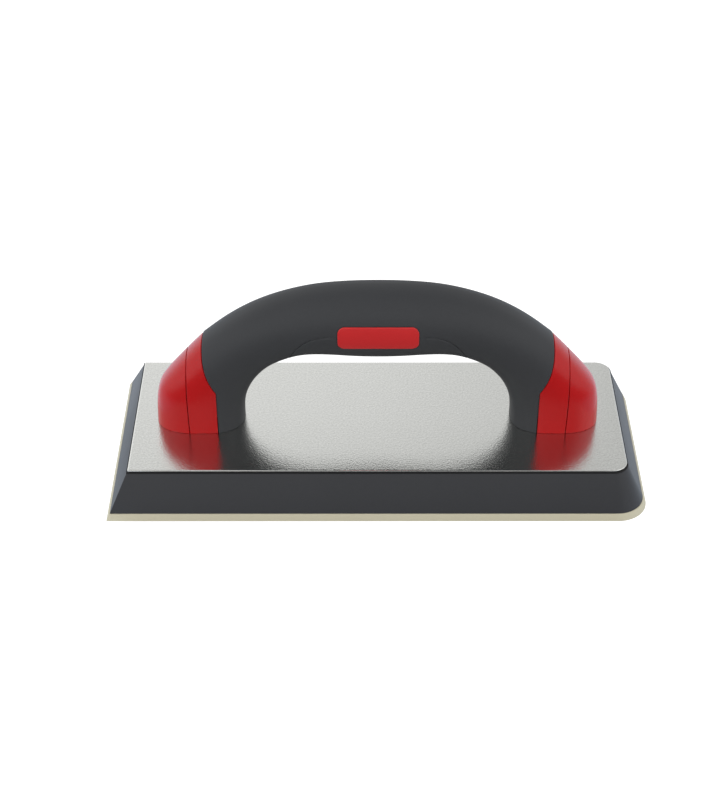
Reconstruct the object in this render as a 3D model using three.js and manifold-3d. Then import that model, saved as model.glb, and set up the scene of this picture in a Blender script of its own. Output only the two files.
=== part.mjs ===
// A rubber grout float: a bevelled foam block with a gum rubber sole and a metal back plate,
// and a closed handle that stands on the plate on two feet.
// Millimetres, +Z up. The origin is the middle of the sole's underside, X runs along the tool,
// and the user's side, with the front badge, faces -Y.
import * as THREE from "three";
import { mergeVertices } from "three/addons/utils/BufferGeometryUtils.js";
import Module from "manifold-3d";

const wasm = await Module();
wasm.setup();

// ---- driving dimensions ----------------------------------------------------
const LENGTH = 240; // sole, along X
const WIDTH = 100; // sole, along Y
const SOLE_THICKNESS = 3;
const BLOCK_HEIGHT = 19.6; // sole and foam together
const FILM_THICKNESS = 0.4; // contact adhesive that shows as a dark line under the plate
const FILM_MARGIN = 0.45; // how far the adhesive squeezes out past the plate
const PLATE_THICKNESS = 0.8;
const PLATE_INSET = 10; // from the sole's edge to the plate's edge
const PLATE_HOLE_CLEARANCE = 0.5; // round a screw's shank
const BEVEL_INSET = 9.5; // from the sole's edge to the foam's top edge
const SOLE_CORNER = 13.6; // radius of the two round corners at the sole
const PLATE_CORNER = 6.6; // and at the plate
const SHARP_CORNER = 0.4; // the other end's corners are cut square

const FILM_Z = BLOCK_HEIGHT;
const PLATE_Z = FILM_Z + FILM_THICKNESS;
const DECK_Z = PLATE_Z + PLATE_THICKNESS; // top of the plate, where the handle stands

const SKIN = 2.9; // grip, collars and caps are shells of this thickness
const CORE_GAP = 0.3; // between those shells and the core
const CORE_WALL = 3.2;
const SEAM = 0.4; // width of the open seams between the shells
const SURFACE = { sides: 24, steps: 2 }; // facets round the handle, and sections for each rung
const HIDDEN = { sides: 16, steps: 1 }; // the same for the surfaces that lie inside it
const ARC_STEPS = 8; // segments of a drawn curve
const ROUND_SIDES = 16; // sides of a turned part
const WELD = 1e-4; // points closer than this are one point
const PAST = 1; // how far a cutting tool runs past the face it cuts

const BADGE = { length: 35.3, height: 11.5, radius: 3.4, z: 74, depth: 1.9 };
const SCREW = { shank: 2.0, root: 1.5, head: 4, headHeight: 2.6, reach: 15, pitch: 2.4 };
const SCREW_SIDES = 12;
const RECESS = { blade: 2.2, halfSlot: 0.45, depth: 1.4 }; // cross in the screw's head
// The pan head's outline, as shares of its radius and its height.
const PAN_HEAD = [[0, 0], [0.62, 0], [0.9, 0.35], [1, 0.7], [1, 1]];
const WASHER = { outer: 5, inner: 2.4, thickness: 0.8 };
const SCREW_X = [70, 89]; // distance of the two screws of a foot from the middle
const BOSS = { radius: 4.6, height: 21, rib: 2.4, ribOverhang: 7 };
const PILOT = { clearance: 0.25, extraDepth: 1.5 }; // hole in the boss, round the screw
const POCKET = { radius: 6.2, floor: 15.4 }; // room for a screw head in the foam

// The handle is lofted over rungs, from the middle of a foot to the top of the arch. Each rung
// joins a point of the outer outline to one of the inner outline, and has its own half width
// along Y and its own squareness (2 is an ellipse).
const RUNGS = [
  { outer: [-100.2, 15], inner: [-60.1, 15], half: 14.3, square: 2.6 },
  { outer: [-99.9, 26], inner: [-60.2, 26], half: 14.3, square: 2.6 },
  { outer: [-99, 36.2], inner: [-59, 35], half: 14.1, square: 2.6 },
  { outer: [-96.1, 42.8], inner: [-56.2, 42], half: 14.0, square: 2.5 },
  { outer: [-87.3, 53.5], inner: [-52.3, 47.9], half: 14.0, square: 2.4 },
  { outer: [-77.3, 64.5], inner: [-46.6, 53.3], half: 14.1, square: 2.3 },
  { outer: [-63.7, 75.2], inner: [-39.6, 57], half: 14.4, square: 2.3 },
  { outer: [-48.5, 83.4], inner: [-31, 59.1], half: 14.7, square: 2.2 },
  { outer: [-31, 88.8], inner: [-20.5, 58.8], half: 15.0, square: 2.2 },
  { outer: [-15.0, 90.8], inner: [-10.0, 57.8], half: 15.2, square: 2.2 },
  { outer: [0, 91.3], inner: [0, 57.5], half: 15.2, square: 2.2 },
];

// Seams of the left end, drawn in XZ and cut straight through along Y. The grip ends on a line
// that is upright on the leg and sweeps out over the shoulder.
const GRIP_END = {
  x: -71.65,
  kinkZ: 43,
  sweep: [[-74.6, 47.6], [-78.5, 55], [-78.3, 66]],
};
const CAP_END = { foot: [-84.55, DECK_Z], bow: [-85.4, 42], top: [-85.9, 68] };

// The finger rest fills the underside of the grip up to this line, which runs into the badge.
const REST_LINE = {
  start: [-41.2, 52],
  rise: [[-38.4, 67.2], [-32.5, 74.3], [-22, 74.3]],
};

// ---- solids ----------------------------------------------------------------
// A closed three.js geometry as a manifold-3d solid.
function solid(geometry) {
  const bare = geometry.index ? geometry.toNonIndexed() : geometry.clone();
  for (const name of ["normal", "uv"]) bare.deleteAttribute(name);
  const merged = mergeVertices(bare, WELD);
  return new wasm.Manifold(
    new wasm.Mesh({
      numProp: 3,
      vertProperties: merged.attributes.position.array,
      triVerts: new Uint32Array(merged.index.array),
    }),
  );
}

// A manifold-3d solid as a three.js geometry.
function geometryOf(made) {
  const mesh = made.getMesh();
  const geometry = new THREE.BufferGeometry();
  const position = new Float32Array(mesh.numVert * 3);
  for (let i = 0; i < mesh.numVert; i++)
    position.set(mesh.vertProperties.subarray(i * mesh.numProp, i * mesh.numProp + 3), i * 3);
  geometry.setAttribute("position", new THREE.BufferAttribute(position, 3));
  geometry.setIndex(new THREE.BufferAttribute(new Uint32Array(mesh.triVerts), 1));
  geometry.computeVertexNormals();
  return geometry;
}

// A solid through a row of closed rings with the same number of points, capped at both ends.
function loft(rings) {
  const count = rings[0].length;
  const position = rings.flat().flatMap((p) => [p.x, p.y, p.z]);
  const index = [];
  for (let r = 0; r < rings.length - 1; r++)
    for (let i = 0; i < count; i++) {
      const j = (i + 1) % count;
      const [a, b] = [r * count + i, r * count + j];
      index.push(a, b, b + count, a, b + count, a + count);
    }
  const last = (rings.length - 1) * count;
  for (let i = 1; i < count - 1; i++) {
    index.push(0, i + 1, i);
    index.push(last, last + i, last + i + 1);
  }
  const geometry = new THREE.BufferGeometry();
  geometry.setAttribute("position", new THREE.Float32BufferAttribute(position, 3));
  geometry.setIndex(index);
  const made = solid(geometry);
  return made.volume() < 0 ? loft(rings.map((ring) => [...ring].reverse())) : made;
}

// An outline in XZ pushed along Y from y0 to y1.
function throughY(shape, y0, y1) {
  const geometry = new THREE.ExtrudeGeometry(shape, {
    depth: y1 - y0,
    bevelEnabled: false,
    curveSegments: ARC_STEPS,
  });
  geometry.rotateX(Math.PI / 2);
  geometry.translate(0, y1, 0);
  return solid(geometry);
}

function box(x0, x1, y0, y1, z0, z1) {
  const geometry = new THREE.BoxGeometry(x1 - x0, y1 - y0, z1 - z0);
  geometry.translate((x0 + x1) / 2, (y0 + y1) / 2, (z0 + z1) / 2);
  return solid(geometry);
}

// An upright cylinder.
function post(radius, x, z0, z1, sides = ROUND_SIDES) {
  const geometry = new THREE.CylinderGeometry(radius, radius, z1 - z0, sides);
  geometry.rotateX(Math.PI / 2);
  geometry.translate(x, 0, (z0 + z1) / 2);
  return solid(geometry);
}

const mirrored = (made) => made.mirror([1, 0, 0]);

// ---- the block -------------------------------------------------------------
// The block's outline, seen from above: square corners at -X and round ones at +X.
function blockOutline(inset, roundCorner) {
  const x = LENGTH / 2 - inset;
  const y = WIDTH / 2 - inset;
  const s = SHARP_CORNER;
  const r = roundCorner;
  const shape = new THREE.Shape();
  shape.moveTo(-x + s, -y);
  shape.lineTo(x - r, -y);
  shape.absarc(x - r, -y + r, r, -Math.PI / 2, 0, false);
  shape.lineTo(x, y - r);
  shape.absarc(x - r, y - r, r, 0, Math.PI / 2, false);
  shape.lineTo(-x + s, y);
  shape.absarc(-x + s, y - s, s, Math.PI / 2, Math.PI, false);
  shape.lineTo(-x, -y + s);
  shape.absarc(-x + s, -y + s, s, Math.PI, Math.PI * 1.5, false);
  return shape;
}

// The outline at a height of the bevelled block, as a ring for loft().
function blockRing(z) {
  const share = z / BLOCK_HEIGHT;
  const corner = THREE.MathUtils.lerp(SOLE_CORNER, PLATE_CORNER, share);
  const points = blockOutline(BEVEL_INSET * share, corner).getPoints(ARC_STEPS);
  points.pop();
  return points.map((p) => new THREE.Vector3(p.x, p.y, z));
}

const screwPlaces = [-1, 1].flatMap((side) => SCREW_X.map((x) => side * x));

function gumRubberSole() {
  return loft([blockRing(0), blockRing(SOLE_THICKNESS)]);
}

function foamPad() {
  let made = loft([blockRing(SOLE_THICKNESS), blockRing(BLOCK_HEIGHT)]);
  for (const x of screwPlaces)
    made = made.subtract(post(POCKET.radius, x, POCKET.floor, BLOCK_HEIGHT + PAST));
  return made;
}

// A flat sheet with the plate's outline, grown by margin, and one round hole for each screw.
function sheet(margin, thickness, z, holeRadius) {
  const shape = blockOutline(PLATE_INSET - margin, PLATE_CORNER + margin);
  for (const x of screwPlaces)
    shape.holes.push(new THREE.Path().absarc(x, 0, holeRadius, 0, Math.PI * 2, true));
  const geometry = new THREE.ExtrudeGeometry(shape, {
    depth: thickness,
    bevelEnabled: false,
    curveSegments: ARC_STEPS,
  });
  geometry.translate(0, 0, z);
  return solid(geometry);
}

// ---- the handle ------------------------------------------------------------
const allRungs = [
  ...RUNGS,
  ...RUNGS.slice(0, -1)
    .reverse()
    .map((r) => ({
      ...r,
      outer: [-r.outer[0], r.outer[1]],
      inner: [-r.inner[0], r.inner[1]],
    })),
];
const curveThrough = (key) =>
  new THREE.SplineCurve(allRungs.map((r) => new THREE.Vector2(...r[key])));
const outerLine = curveThrough("outer");
const innerLine = curveThrough("inner");

// A value of the rungs, in between two of them.
function between(key, t) {
  const place = t * (allRungs.length - 1);
  const low = Math.min(Math.floor(place), allRungs.length - 2);
  return THREE.MathUtils.lerp(allRungs[low][key], allRungs[low + 1][key], place - low);
}

// One closed section of the handle, drawn in by inset all round.
function handleSection(t, inset, sides) {
  const outer = outerLine.getPoint(t);
  const inner = innerLine.getPoint(t);
  const middle = outer.clone().add(inner).multiplyScalar(0.5);
  const reach = outer.clone().sub(inner).multiplyScalar(0.5);
  const across = reach.length() - inset;
  reach.normalize();
  const half = between("half", t) - inset;
  const power = 2 / between("square", t);
  const ring = [];
  for (let i = 0; i < sides; i++) {
    const angle = ((i + 0.5) / sides) * Math.PI * 2;
    const [c, s] = [Math.cos(angle), Math.sin(angle)];
    const u = Math.sign(c) * Math.abs(c) ** power * across;
    const v = Math.sign(s) * Math.abs(s) ** power * half;
    ring.push(new THREE.Vector3(middle.x + reach.x * u, v, middle.y + reach.y * u));
  }
  return ring;
}

// The whole arch, drawn in by inset, standing on the plate.
function arch(inset, mesh = HIDDEN) {
  const steps = (allRungs.length - 1) * mesh.steps;
  const rings = [];
  for (let i = 0; i <= steps; i++) rings.push(handleSection(i / steps, inset, mesh.sides));
  return loft(rings).trimByPlane([0, 0, 1], DECK_Z);
}

const FAR = 130; // past the tool on every side
// Everything to the left of the grip's end, moved by shift along X.
function leftOfGrip(shift) {
  const shape = new THREE.Shape();
  shape.moveTo(-FAR, 0);
  shape.lineTo(GRIP_END.x + shift, 0);
  shape.lineTo(GRIP_END.x + shift, GRIP_END.kinkZ);
  const [p, q, end] = GRIP_END.sweep;
  shape.bezierCurveTo(p[0] + shift, p[1], q[0] + shift, q[1], end[0] + shift, end[1]);
  shape.lineTo(end[0] + shift, FAR);
  shape.lineTo(-FAR, FAR);
  return throughY(shape, -FAR, FAR);
}

// Everything to the left of the seam between the heel cap and the collar.
function leftOfCap(shift) {
  const { foot, bow, top } = CAP_END;
  const shape = new THREE.Shape();
  shape.moveTo(-FAR, 0);
  shape.lineTo(foot[0] + shift, 0);
  shape.lineTo(foot[0] + shift, foot[1]);
  shape.quadraticCurveTo(bow[0] + shift, bow[1], top[0] + shift, top[1]);
  shape.lineTo(top[0] + shift, FAR);
  shape.lineTo(-FAR, FAR);
  return throughY(shape, -FAR, FAR);
}

// The region below the finger rest's line, which grows by the seam's width for the grip's cut.
function belowRestLine(grow) {
  const { start, rise } = REST_LINE;
  const [p, q, end] = rise;
  const g = grow;
  const shape = new THREE.Shape();
  shape.moveTo(start[0] - g, 0);
  shape.lineTo(-start[0] + g, 0);
  shape.lineTo(-start[0] + g, start[1]);
  shape.bezierCurveTo(-p[0] + g, p[1], -q[0] + g, q[1] + g, -end[0], end[1] + g);
  shape.lineTo(end[0], end[1] + g);
  shape.bezierCurveTo(q[0] - g, q[1] + g, p[0] - g, p[1], start[0] - g, start[1]);
  return throughY(shape, -FAR, FAR);
}

// The badge's rounded outline, pushed through the front of the handle from y0 to y1.
function badgeBlock(grow, y0, y1) {
  const x = BADGE.length / 2 + grow;
  const low = BADGE.z - BADGE.height / 2 - grow;
  const high = BADGE.z + BADGE.height / 2 + grow;
  const r = BADGE.radius + grow;
  const shape = new THREE.Shape();
  shape.moveTo(-x + r, low);
  shape.lineTo(x - r, low);
  shape.absarc(x - r, low + r, r, -Math.PI / 2, 0, false);
  shape.absarc(x - r, high - r, r, 0, Math.PI / 2, false);
  shape.absarc(-x + r, high - r, r, Math.PI / 2, Math.PI, false);
  shape.absarc(-x + r, low + r, r, Math.PI, Math.PI * 1.5, false);
  return throughY(shape, y0, y1);
}

const outside = arch(0, SURFACE);
const shells = outside.subtract(arch(SKIN));
const frontY = -RUNGS.at(-1).half;
const badgeSeat = frontY + BADGE.depth;
const badgeRoom = badgeBlock(SEAM / 2, -FAR, badgeSeat + CORE_GAP);
const bothBadgeRooms = badgeRoom.add(badgeRoom.mirror([0, 1, 0]));

function gripSleeve() {
  return shells
    .subtract(leftOfGrip(SEAM / 2))
    .subtract(mirrored(leftOfGrip(SEAM / 2)))
    .subtract(belowRestLine(SEAM / 2))
    .subtract(bothBadgeRooms);
}

function fingerRest() {
  return shells.intersect(belowRestLine(-SEAM / 2)).subtract(bothBadgeRooms);
}

function collar() {
  return shells.intersect(leftOfGrip(-SEAM / 2)).subtract(leftOfCap(SEAM / 2));
}

function heelCap() {
  return shells.intersect(leftOfCap(-SEAM / 2));
}

function badge() {
  return outside.intersect(badgeBlock(0, -FAR, badgeSeat));
}

// The core is one hollow moulding, open at both feet, with a ribbed screw boss over each screw.
function handleCore() {
  let made = arch(SKIN + CORE_GAP).subtract(arch(SKIN + CORE_GAP + CORE_WALL));
  const bossTop = DECK_Z + BOSS.height;
  const rib = BOSS.rib / 2;
  const over = BOSS.ribOverhang;
  for (const side of [-1, 1]) {
    const ends = SCREW_X.map((x) => side * x).sort((a, b) => a - b);
    const wall = box(ends[0] - over, ends[1] + over, -rib, rib, DECK_Z, bossTop);
    made = made.add(wall.intersect(arch(SKIN + CORE_GAP)));
  }
  const pilotRadius = SCREW.shank + PILOT.clearance;
  const pilotTop = DECK_Z + SCREW.reach + PILOT.extraDepth;
  for (const x of screwPlaces) {
    const boss = post(BOSS.radius, x, DECK_Z, bossTop);
    made = made.add(boss.intersect(arch(SKIN + CORE_GAP)));
    made = made.subtract(post(pilotRadius, x, DECK_Z - PAST, pilotTop));
  }
  return made;
}

// ---- fasteners -------------------------------------------------------------
const WASHER_Z = PLATE_Z - WASHER.thickness;

// A pan-head tapping screw, head down, with ridges for its thread and a cross recess.
function footScrew() {
  const { shank, root, head, headHeight, reach, pitch } = SCREW;
  const headZ = WASHER_Z - headHeight;
  const tipZ = DECK_Z + reach;
  const profile = PAN_HEAD.map(([r, up]) => [r * head, headZ + up * headHeight]);
  profile.push([shank, WASHER_Z], [shank, DECK_Z]);
  for (let z = DECK_Z + pitch; z < tipZ - 2 * pitch; z += pitch)
    profile.push([root, z - pitch / 2], [shank, z]);
  profile.push([root, tipZ - 2 * pitch], [0, tipZ]);
  const points = profile.map(([r, z]) => new THREE.Vector2(r, z));
  const geometry = new THREE.LatheGeometry(points, SCREW_SIDES);
  geometry.rotateX(Math.PI / 2);
  const { blade, halfSlot, depth } = RECESS;
  const floor = headZ + depth;
  return solid(geometry)
    .subtract(box(-blade, blade, -halfSlot, halfSlot, headZ - PAST, floor))
    .subtract(box(-halfSlot, halfSlot, -blade, blade, headZ - PAST, floor));
}

function washer() {
  const hole = post(WASHER.inner, 0, WASHER_Z - PAST, PLATE_Z + PAST);
  return post(WASHER.outer, 0, WASHER_Z, PLATE_Z).subtract(hole);
}

// ---- materials and the assembly --------------------------------------------
const finish = (color, roughness, metalness = 0) =>
  new THREE.MeshStandardMaterial({ color, roughness, metalness });
const materials = {
  gum: finish(0xbeb9a1, 0.75),
  foam: finish(0x3c3d40, 0.8),
  film: finish(0x1c1c1e, 0.6),
  plate: finish(0xb9bab6, 0.35, 1),
  grip: finish(0x404246, 0.6),
  red: finish(0xb01c1f, 0.4),
  core: finish(0x26272a, 0.55),
  steel: finish(0xa9abad, 0.3, 1),
};

const float = new THREE.Group();
function place(name, made, material, x = 0) {
  const mesh = new THREE.Mesh(geometryOf(made), materials[material]);
  mesh.name = name;
  mesh.position.x = x;
  float.add(mesh);
}

const filmSheet = sheet(FILM_MARGIN, FILM_THICKNESS, FILM_Z, POCKET.radius);
const shankHole = SCREW.shank + PLATE_HOLE_CLEARANCE;
const plateSheet = sheet(0, PLATE_THICKNESS, PLATE_Z, shankHole);

place("gum_rubber_sole", gumRubberSole(), "gum");
place("foam_pad", foamPad(), "foam");
place("bond_film", filmSheet, "film");
place("back_plate", plateSheet, "plate");
place("handle_core", handleCore(), "core");
place("grip_sleeve", gripSleeve(), "grip");
place("finger_rest", fingerRest(), "grip");
place("badge_front", badge(), "red");
place("badge_back", badge().mirror([0, 1, 0]), "red");
place("collar_left", collar(), "red");
place("collar_right", mirrored(collar()), "red");
place("heel_cap_left", heelCap(), "red");
place("heel_cap_right", mirrored(heelCap()), "red");
screwPlaces.forEach((x, i) => {
  place(`foot_screw_${i + 1}`, footScrew(), "steel", x);
  place(`screw_washer_${i + 1}`, washer(), "steel", x);
});

export default float;
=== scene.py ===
# %% [markdown]
# # A rubber grout float
# A tiler spreads grout with this tool. A cream gum-rubber sole is bonded under a bevelled block
# of dark foam, a thin metal plate stiffens the block from above, and an arched grip stands on
# the plate on two red-capped feet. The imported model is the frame: it says how big each piece is
# and where it goes. Everything below gives those pieces their fine shape and their finish.

# %% The frame
import math

import bmesh
import bpy
import numpy as np
from mathutils import Matrix, Vector, kdtree
from mathutils.geometry import delaunay_2d_cdt


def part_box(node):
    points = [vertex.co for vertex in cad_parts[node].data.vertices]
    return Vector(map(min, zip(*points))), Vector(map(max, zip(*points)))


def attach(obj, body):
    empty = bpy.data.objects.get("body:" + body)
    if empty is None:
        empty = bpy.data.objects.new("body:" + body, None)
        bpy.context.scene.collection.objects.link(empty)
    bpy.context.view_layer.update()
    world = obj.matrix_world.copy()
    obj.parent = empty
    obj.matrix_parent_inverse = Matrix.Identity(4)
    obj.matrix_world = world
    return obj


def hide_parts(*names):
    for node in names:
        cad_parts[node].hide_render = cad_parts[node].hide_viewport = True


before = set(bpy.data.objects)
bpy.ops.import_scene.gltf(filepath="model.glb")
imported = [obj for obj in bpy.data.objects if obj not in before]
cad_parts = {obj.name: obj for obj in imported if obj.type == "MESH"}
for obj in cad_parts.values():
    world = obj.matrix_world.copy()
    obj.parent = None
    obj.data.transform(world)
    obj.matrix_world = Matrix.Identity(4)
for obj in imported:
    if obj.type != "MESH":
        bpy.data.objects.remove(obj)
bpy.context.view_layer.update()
MM = 0.001


# %% [markdown]
# ## Sizes
# The lengths that the frame already knows are read from it, in millimetres, so this model can't
# drift away from the solids. Only what the solids leave out, such as the rounding of an edge, is
# a number of its own.

# %% Sizes read from the frame
def extent(node):
    """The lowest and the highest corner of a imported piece, in millimetres."""
    low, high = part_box(node)
    return np.array(low) / MM, np.array(high) / MM


sole_low, sole_high = extent("gum_rubber_sole")
foam_low, foam_high = extent("foam_pad")
film_low, film_high = extent("bond_film")
plate_low, plate_high = extent("back_plate")
HALF_LENGTH = sole_high[0]
HALF_WIDTH = sole_high[1]
DECK_Z = plate_high[2]
BEVEL_INSET = 9.5
print("sole %.0f x %.0f mm, deck at %.1f mm" % (2 * HALF_LENGTH, 2 * HALF_WIDTH, DECK_Z))

# %% [markdown]
# ## The camera
# The float is seen from above the user's side, at a height of about 38 degrees and from about
# 0.8 metres away. The lens is long, so the two ends hardly converge.

# %% The camera
CAMERA_PLACE = Vector((-7.35, -621.8, 510.9)) * MM
CAMERA_PITCH, CAMERA_YAW = math.radians(37.77), math.radians(0.094)
CAMERA_ROLL = math.radians(0.044)
CAMERA_LENS = 77.98


def new_object(name, data):
    """An object in the scene that holds this data."""
    made = bpy.data.objects.new(name, data)
    bpy.context.scene.collection.objects.link(made)
    return made


camera_data = bpy.data.cameras.new("camera")
camera_data.lens = CAMERA_LENS
camera_data.sensor_width = 36
camera = new_object("camera", camera_data)
turn = Matrix.Rotation(-CAMERA_YAW, 4, "Z") @ Matrix.Rotation(math.pi / 2 - CAMERA_PITCH, 4, "X")
camera.matrix_world = Matrix.Translation(CAMERA_PLACE) @ turn @ Matrix.Rotation(CAMERA_ROLL, 4, "Z")
bpy.context.scene.camera = camera
print("camera at", [round(v, 3) for v in camera.location], "lens", CAMERA_LENS)

# %% [markdown]
# ## Node helpers
# Materials and geometry trees are both graphs of nodes, so a few short helpers make them easier
# to read: one adds a node and sets its values, and one joins two sockets.


# %% Node helpers
def add_node(tree, kind, values=None, **settings):
    """A node of that kind. settings are its own properties, values its unlinked inputs."""
    node = tree.nodes.new(kind)
    for name, value in settings.items():
        setattr(node, name, value)
    for name, value in (values or {}).items():
        node.inputs[name].default_value = value
    return node


def join(tree, *pairs):
    """Joins an output socket to an input socket, for each pair."""
    for source, target in pairs:
        tree.links.new(source, target)


def new_group(name, inputs, outputs):
    """An empty shader node group. inputs and outputs are rows of (name, socket kind, default)."""
    tree = bpy.data.node_groups.new(name, "ShaderNodeTree")
    for label, kind, default in inputs:
        socket = tree.interface.new_socket(label, in_out="INPUT", socket_type=kind)
        socket.default_value = default
    for label, kind in outputs:
        tree.interface.new_socket(label, in_out="OUTPUT", socket_type=kind)
    return tree, tree.nodes.new("NodeGroupInput"), tree.nodes.new("NodeGroupOutput")


# %% [markdown]
# ## Effects that several finishes share
# Moulded and rubber surfaces all have a fine grain, slow cloudy changes from handling, and edges
# that rub lighter. Each effect is one node group with its own inputs, placed in each material
# with that material's values. A group could hold the whole shader, but then one change would
# touch every finish at once, so the groups give out only masks and heights.

# %% Shared group: fine grain
FLOAT, COLOUR, VECTOR = "NodeSocketFloat", "NodeSocketColor", "NodeSocketVector"

grain_group, grain_in, grain_out = new_group(
    "fine grain",
    [("Grains per metre", FLOAT, 1500.0), ("Coarse share", FLOAT, 0.3)],
    [("Height", FLOAT), ("Speckle", FLOAT)],
)
place_node = add_node(grain_group, "ShaderNodeTexCoord")
fine = add_node(grain_group, "ShaderNodeTexNoise", {"Detail": 3.0, "Roughness": 0.6})
coarse_scale = add_node(grain_group, "ShaderNodeMath", {1: 0.3}, operation="MULTIPLY")
coarse = add_node(grain_group, "ShaderNodeTexNoise", {"Detail": 2.0, "Roughness": 0.5})
blend = add_node(grain_group, "ShaderNodeMix")
speckle = add_node(grain_group, "ShaderNodeMapRange", {"From Min": 0.35, "From Max": 0.65})
join(
    grain_group,
    (place_node.outputs["Object"], fine.inputs["Vector"]),
    (place_node.outputs["Object"], coarse.inputs["Vector"]),
    (grain_in.outputs["Grains per metre"], fine.inputs["Scale"]),
    (grain_in.outputs["Grains per metre"], coarse_scale.inputs[0]),
    (coarse_scale.outputs[0], coarse.inputs["Scale"]),
    (grain_in.outputs["Coarse share"], blend.inputs["Factor"]),
    (fine.outputs["Fac"], blend.inputs["A"]),
    (coarse.outputs["Fac"], blend.inputs["B"]),
    (blend.outputs["Result"], speckle.inputs["Value"]),
    (blend.outputs["Result"], grain_out.inputs["Height"]),
    (speckle.outputs["Result"], grain_out.inputs["Speckle"]),
)
print("group:", grain_group.name)

# %% Shared group: handling clouds
cloud_group, cloud_in, cloud_out = new_group(
    "handling clouds",
    [("Clouds per metre", FLOAT, 22.0), ("Strength", FLOAT, 0.5)],
    [("Mask", FLOAT)],
)
cloud_place = add_node(cloud_group, "ShaderNodeTexCoord")
cloud = add_node(cloud_group, "ShaderNodeTexNoise", {"Detail": 4.0, "Roughness": 0.55})
cloud_range = add_node(cloud_group, "ShaderNodeMapRange", {"From Min": 0.3, "From Max": 0.7})
cloud_share = add_node(cloud_group, "ShaderNodeMath", operation="MULTIPLY")
join(
    cloud_group,
    (cloud_place.outputs["Object"], cloud.inputs["Vector"]),
    (cloud_in.outputs["Clouds per metre"], cloud.inputs["Scale"]),
    (cloud.outputs["Fac"], cloud_range.inputs["Value"]),
    (cloud_range.outputs["Result"], cloud_share.inputs[0]),
    (cloud_in.outputs["Strength"], cloud_share.inputs[1]),
    (cloud_share.outputs[0], cloud_out.inputs["Mask"]),
)
print("group:", cloud_group.name)

# %% Shared group: rubbed edges
edge_group, edge_in, edge_out = new_group(
    "rubbed edges",
    [("From", FLOAT, 0.52), ("To", FLOAT, 0.62), ("Strength", FLOAT, 0.4)],
    [("Mask", FLOAT)],
)
edge_shape = add_node(edge_group, "ShaderNodeNewGeometry")
edge_range = add_node(edge_group, "ShaderNodeMapRange")
edge_share = add_node(edge_group, "ShaderNodeMath", operation="MULTIPLY")
join(
    edge_group,
    (edge_shape.outputs["Pointiness"], edge_range.inputs["Value"]),
    (edge_in.outputs["From"], edge_range.inputs["From Min"]),
    (edge_in.outputs["To"], edge_range.inputs["From Max"]),
    (edge_range.outputs["Result"], edge_share.inputs[0]),
    (edge_in.outputs["Strength"], edge_share.inputs[1]),
    (edge_share.outputs[0], edge_out.inputs["Mask"]),
)
print("group:", edge_group.name)

# %% [markdown]
# ## Finishes
# Every finish is the same recipe with its own values: a base colour that drifts a little between
# two tones, edges that go to a third, a roughness that follows the clouds, and a bump from the
# grain. The gloss, the coat and the sheen are plain numbers on the shader itself.


# %% One finish
def finish(
    name, tones, roughness, grains, bump,
    edge=0.3, metal=0.0, shader=None, clouds=22.0, handled=1.0, coarse=0.3,
):
    """A material. tones are dark, light and edge colours, roughness its low and high value."""
    material = bpy.data.materials.new(name)
    material.use_nodes = True
    tree = material.node_tree
    surface = tree.nodes["Principled BSDF"]
    grain_values = {"Grains per metre": grains, "Coarse share": coarse}
    cloud_values = {"Clouds per metre": clouds, "Strength": handled}
    grain = add_node(tree, "ShaderNodeGroup", grain_values, node_tree=grain_group)
    cloud_mask = add_node(tree, "ShaderNodeGroup", cloud_values, node_tree=cloud_group)
    edges = add_node(tree, "ShaderNodeGroup", {"Strength": edge}, node_tree=edge_group)

    mottle = add_node(tree, "ShaderNodeMath", {1: 0.5}, operation="MULTIPLY")
    both = add_node(tree, "ShaderNodeMath", {1: 0.5}, operation="MULTIPLY_ADD")
    dark, light, rubbed = [(*tone, 1.0) for tone in tones]
    drift = add_node(tree, "ShaderNodeMix", {"A": dark, "B": light}, data_type="RGBA")
    worn = add_node(tree, "ShaderNodeMix", {"B": rubbed}, data_type="RGBA")
    join(
        tree,
        (cloud_mask.outputs["Mask"], mottle.inputs[0]),
        (grain.outputs["Speckle"], both.inputs[0]),
        (mottle.outputs[0], both.inputs[2]),
        (both.outputs[0], drift.inputs["Factor"]),
        (drift.outputs["Result"], worn.inputs["A"]),
        (edges.outputs["Mask"], worn.inputs["Factor"]),
        (worn.outputs["Result"], surface.inputs["Base Color"]),
    )

    smoothest, roughest = roughness
    gloss = add_node(tree, "ShaderNodeMapRange", {"To Min": smoothest, "To Max": roughest})
    join(
        tree,
        (both.outputs[0], gloss.inputs["Value"]),
        (gloss.outputs["Result"], surface.inputs["Roughness"]),
    )

    relief = add_node(tree, "ShaderNodeBump", {"Strength": 1.0, "Distance": bump * MM})
    join(
        tree,
        (grain.outputs["Height"], relief.inputs["Height"]),
        (relief.outputs["Normal"], surface.inputs["Normal"]),
    )
    surface.inputs["Metallic"].default_value = metal
    for socket, value in (shader or {}).items():
        surface.inputs[socket].default_value = value
    return material


# %% The finishes of this tool
gum_rubber = finish(
    "gum rubber",
    [(0.46, 0.428, 0.32), (0.495, 0.464, 0.347), (0.56, 0.527, 0.405)],
    (0.55, 0.75), 1400, 0.03, shader={"Specular IOR Level": 0.3},
)
foam_rubber = finish(
    "foam rubber",
    [(0.0228, 0.0239, 0.0271), (0.028, 0.0292, 0.0329), (0.046, 0.048, 0.055)],
    (0.40, 0.50), 1900, 0.02, edge=0.3, shader={"Specular IOR Level": 0.25},
)
# The adhesive's near-black tone is its own colour and also paints the shade between the plate and
# the foam.
adhesive = finish(
    "contact adhesive",
    [(0.008, 0.008, 0.009), (0.014, 0.014, 0.015), (0.02, 0.02, 0.02)],
    (0.5, 0.7), 900, 0.05, shader={"Specular IOR Level": 0.2},
)
plate_metal = finish(
    "satin plate metal",
    [(0.62, 0.627, 0.603), (0.81, 0.817, 0.792), (0.88, 0.88, 0.87)],
    (0.16, 0.20), 1150, 0.055, edge=0.2, metal=1.0, handled=0.1, coarse=0.0,
)
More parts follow.
